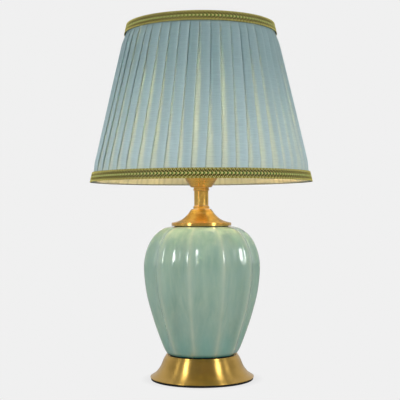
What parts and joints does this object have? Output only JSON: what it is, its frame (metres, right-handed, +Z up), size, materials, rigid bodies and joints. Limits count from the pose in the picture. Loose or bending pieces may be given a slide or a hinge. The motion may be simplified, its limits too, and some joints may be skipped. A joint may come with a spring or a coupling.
{
  "type": "table lamp with shade",
  "caption": "Table lamp: a fluted glazed ceramic vase on a spun brass foot, with a brass neck and turn-key bulb socket, and a pleated cloth shade carried on a wire harp.",
  "frame": {"origin": "on the table, under the lamp's axis, at the underside of the foot pad", "axes": "+Z up along the lamp's axis, -Y towards the front, +X to the right seen from the front"},
  "size_m": [0.3222, 0.3222, 0.512],
  "materials": {
    "foot_rubber": "matte black moulded rubber",
    "foot_brass": "polished antique brass, spun, lacquered",
    "ballast_iron": "black as-cast iron",
    "rod_steel": "zinc-plated steel",
    "gasket_rubber": "soft dark rubber",
    "black_plastic": "dark moulded phenolic",
    "celadon_glaze": "glossy celadon glaze, paler on the ridges",
    "neck_brass": "satin antique brass, spun",
    "harp_brass": "bright brass plate on steel",
    "socket_brass": "brushed brass",
    "liner_card": "brown insulating card",
    "bulb_aluminium": "rolled screw-thread shell",
    "opal_glass": "opal coated glass, lit warm",
    "painted_wire": "ivory painted wire",
    "shade_cloth": "pale blue-grey satin, knife pleated",
    "lining_cloth": "cream taffeta lining",
    "trim_braid": "olive and gold woven gimp braid"
  },
  "bodies": {
    "lamp_base": {"foot_pad": "foot_rubber", "foot_shell": "foot_brass", "ballast_plate": "ballast_iron", "bottom_nut": "rod_steel", "bottom_lock_washer": "rod_steel", "threaded_rod": "rod_steel", "seat_gasket": "gasket_rubber", "cord_bushing": "black_plastic", "ceramic_body": "celadon_glaze", "cap_gasket": "gasket_rubber", "vase_cap": "neck_brass", "neck_collar_lower": "neck_brass", "neck_tube": "neck_brass", "neck_collar_upper": "neck_brass", "neck_cup": "neck_brass", "harp_saddle": "harp_brass", "socket_cap": "socket_brass", "socket_shell": "socket_brass", "socket_liner": "liner_card", "socket_interior": "black_plastic", "socket_screw_shell": "bulb_aluminium", "centre_contact": "socket_brass"},
    "switch": {"switch_stem": "socket_brass", "switch_knob": "black_plastic"},
    "bulb_travel": {"bulb_contact": "rod_steel"},
    "bulb": {"bulb_glass": "opal_glass", "bulb_cap": "bulb_aluminium", "bulb_insulator": "black_plastic"},
    "harp": {"harp_wire": "harp_brass", "harp_stud": "harp_brass"},
    "sleeve_left": {"harp_sleeve_left": "harp_brass"},
    "sleeve_right": {"harp_sleeve_right": "harp_brass"},
    "finial_travel": {"finial_insert": "rod_steel"},
    "finial": {"finial": "neck_brass"},
    "shade": {"shade_spider": "harp_brass", "shade_top_ring": "painted_wire", "shade_bottom_ring": "painted_wire", "shade_rib_1": "painted_wire", "shade_rib_2": "painted_wire", "shade_rib_3": "painted_wire", "shade_rib_4": "painted_wire", "shade_rib_5": "painted_wire", "shade_rib_6": "painted_wire", "shade_fabric": "shade_cloth", "shade_lining": "lining_cloth", "top_trim": "trim_braid", "bottom_trim": "trim_braid"}
  },
  "joints": [
    {"name": "switch_turn", "type": "hinge", "parent": "lamp_base", "child": "switch", "pos_m": [0, -0.036, 0.301], "axis": [0, -1, 0], "continuous": true},
    {"name": "bulb_lift", "type": "slide", "parent": "lamp_base", "child": "bulb_travel", "axis": [0, 0, 1], "range_m": [0, 0.0128]},
    {"name": "bulb_turn", "type": "hinge", "parent": "bulb_travel", "child": "bulb", "pos_m": [0, 0, 0.33], "axis": [0, 0, 1], "range_deg": [0, 1260]},
    {"name": "harp_lift", "type": "slide", "parent": "lamp_base", "child": "harp", "axis": [0, 0, 1], "range_m": [0, 0.25]},
    {"name": "sleeve_left_slide", "type": "slide", "parent": "harp", "child": "sleeve_left", "axis": [0, 0, 1], "range_m": [0, 0.025]},
    {"name": "sleeve_right_slide", "type": "slide", "parent": "harp", "child": "sleeve_right", "axis": [0, 0, 1], "range_m": [0, 0.025]},
    {"name": "shade_turn", "type": "hinge", "parent": "harp", "child": "shade", "pos_m": [0, 0, 0.487], "axis": [0, 0, 1], "continuous": true},
    {"name": "finial_lift", "type": "slide", "parent": "harp", "child": "finial_travel", "axis": [0, 0, 1], "range_m": [0, 0.0076]},
    {"name": "finial_turn", "type": "hinge", "parent": "finial_travel", "child": "finial", "pos_m": [0, 0, 0.495], "axis": [0, 0, 1], "range_deg": [0, 2880]}
  ],
  "couplings": [
    {"joint": "bulb_lift", "follows": "bulb_turn", "m_per_rad": 0.0005777},
    {"joint": "finial_lift", "follows": "finial_turn", "m_per_rad": 0.0001497}
  ]
}
